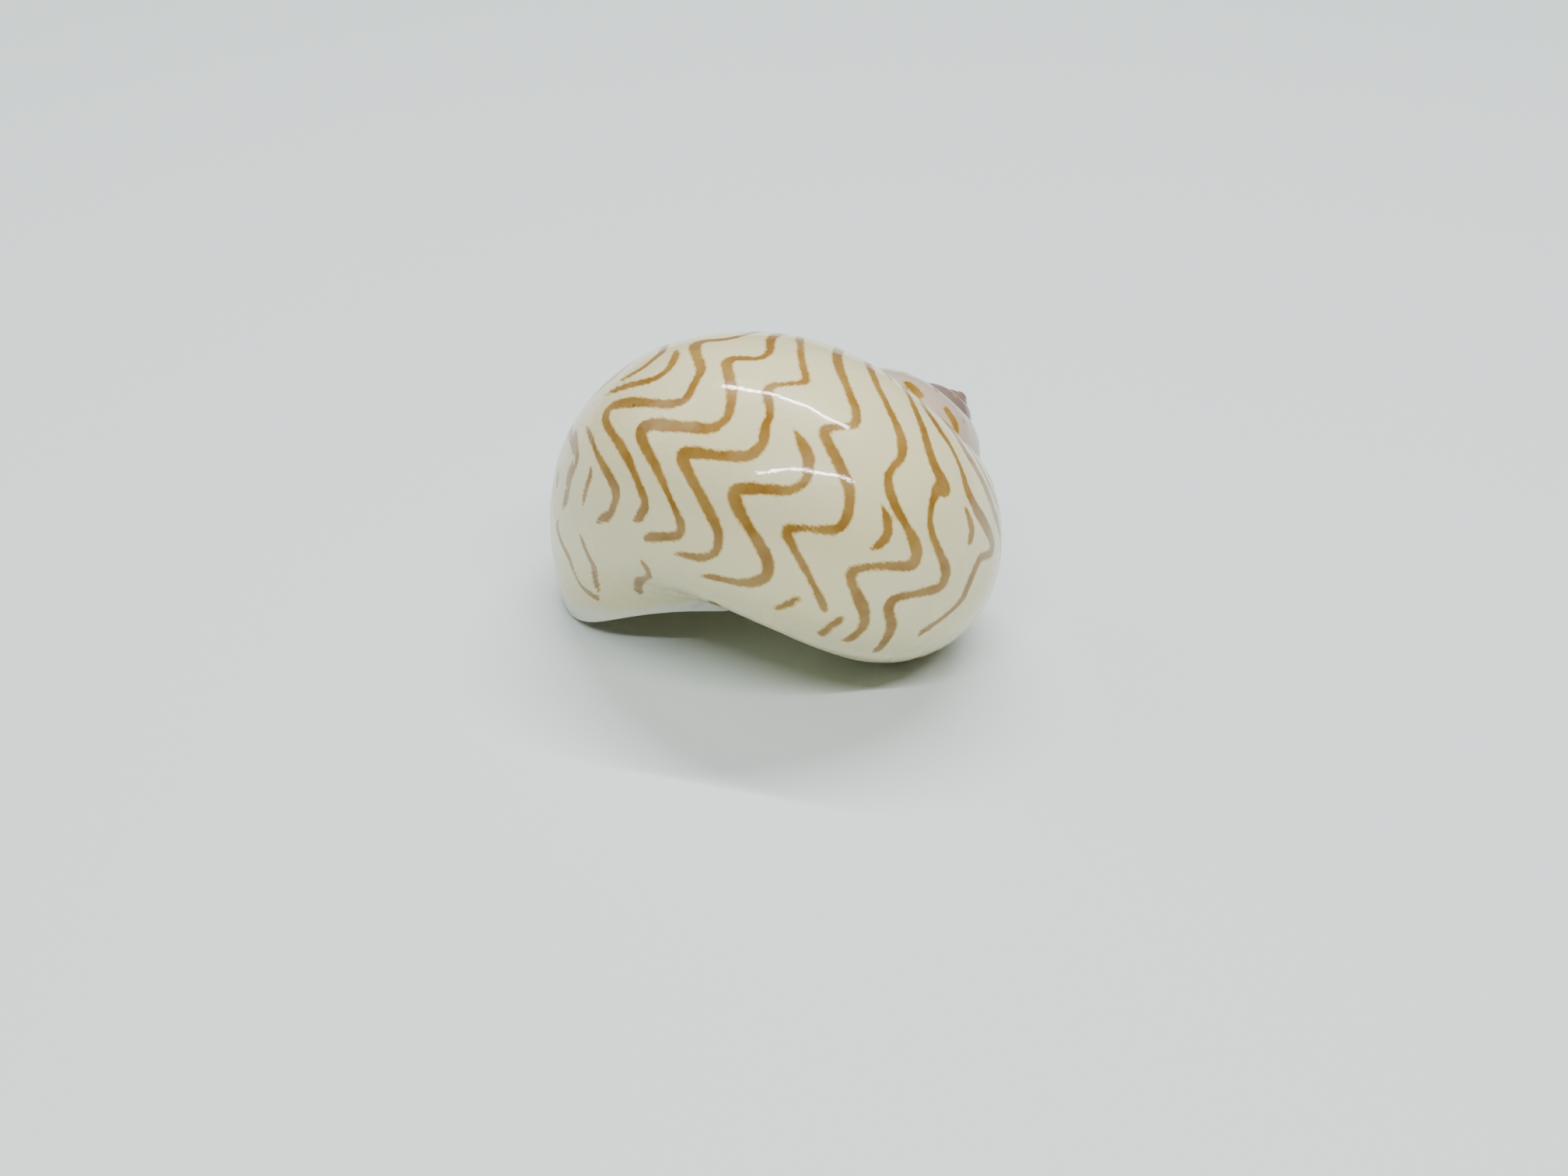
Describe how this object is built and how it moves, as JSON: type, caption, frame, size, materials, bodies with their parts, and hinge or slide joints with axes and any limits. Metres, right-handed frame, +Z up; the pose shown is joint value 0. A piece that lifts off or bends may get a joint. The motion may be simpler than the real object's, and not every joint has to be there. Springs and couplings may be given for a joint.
{
  "type": "moon snail shell",
  "caption": "Globose sea snail shell with a low spire, a wide half-moon mouth, a narrow umbilicus and wavy brown lines on glossy cream white, lying mouth down",
  "frame": {"origin": "middle of the underside of the shell's box, on the surface the shell lies on", "axes": "+Z up, +X along the longest side towards the spire's side, +Y away from the picture's camera"},
  "size_m": [0.02, 0.0194, 0.0141],
  "materials": {
    "shell": "glossy aragonite, cream white with wavy orange-brown lines, thin enough to glow a little"
  },
  "bodies": {
    "root": {"shell": "shell"}
  },
  "joints": []
}
